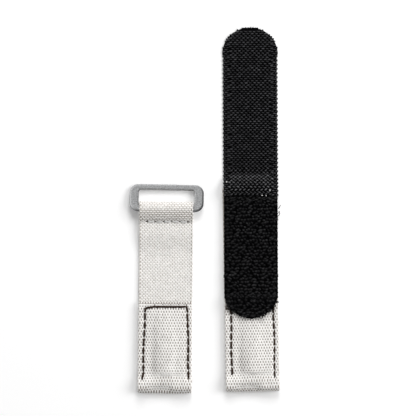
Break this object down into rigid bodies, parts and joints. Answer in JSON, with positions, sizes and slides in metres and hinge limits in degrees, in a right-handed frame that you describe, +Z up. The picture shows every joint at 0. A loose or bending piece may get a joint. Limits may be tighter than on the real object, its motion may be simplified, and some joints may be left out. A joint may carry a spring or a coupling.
{
  "type": "watch strap",
  "caption": "Two-piece hook and loop watch strap: webbing halves with folded lug ends, a swivelling ring and a fold-back hook tab.",
  "frame": {"origin": "middle of the whole strap's footprint, on the table that both halves lie on", "axes": "+Y from the lug ends towards the ring and the hook tab's tip, +Z up from the table, +X from the short half to the long half"},
  "size_m": [0.0558, 0.1366, 0.0051],
  "materials": {
    "webbing": "off-white woven nylon webbing",
    "ring_steel": "brushed faces, bevelled edges",
    "hook_tape": "black nylon hooks on woven backing",
    "loop_tape": "black nylon loop pile",
    "brown_thread": "dark brown sewing thread",
    "white_thread": "off-white sewing thread",
    "black_thread": "black sewing thread"
  },
  "bodies": {
    "root": {"short_webbing": "webbing", "ring_seam_needle_thread": "white_thread", "ring_seam_bobbin_thread": "white_thread", "short_lug_needle_thread": "brown_thread", "short_lug_bobbin_thread": "brown_thread", "long_webbing": "webbing", "loop_tape": "loop_tape", "hook_tape_root": "hook_tape", "long_lug_left_needle_thread": "brown_thread", "long_lug_left_bobbin_thread": "brown_thread", "long_lug_right_needle_thread": "brown_thread", "long_lug_right_bobbin_thread": "brown_thread", "tape_seam_needle_thread": "black_thread", "tape_seam_bobbin_thread": "black_thread", "overlap_seam_needle_thread": "black_thread", "overlap_seam_bobbin_thread": "black_thread"},
    "ring": {"buckle_ring": "ring_steel"},
    "hook_tab": {"hook_tab": "hook_tape"}
  },
  "joints": [
    {"name": "ring_swivel", "type": "hinge", "parent": "root", "child": "ring", "pos_m": [-0.01433, 0.00056, 0.00255], "axis": [0.9997, -0.0262, 0], "range_deg": [-140, 180]},
    {"name": "tab_fold", "type": "hinge", "parent": "root", "child": "hook_tab", "pos_m": [0.01709, 0.01121, 0.00363], "axis": [1, 0.0047, 0], "range_deg": [0, 180]}
  ]
}
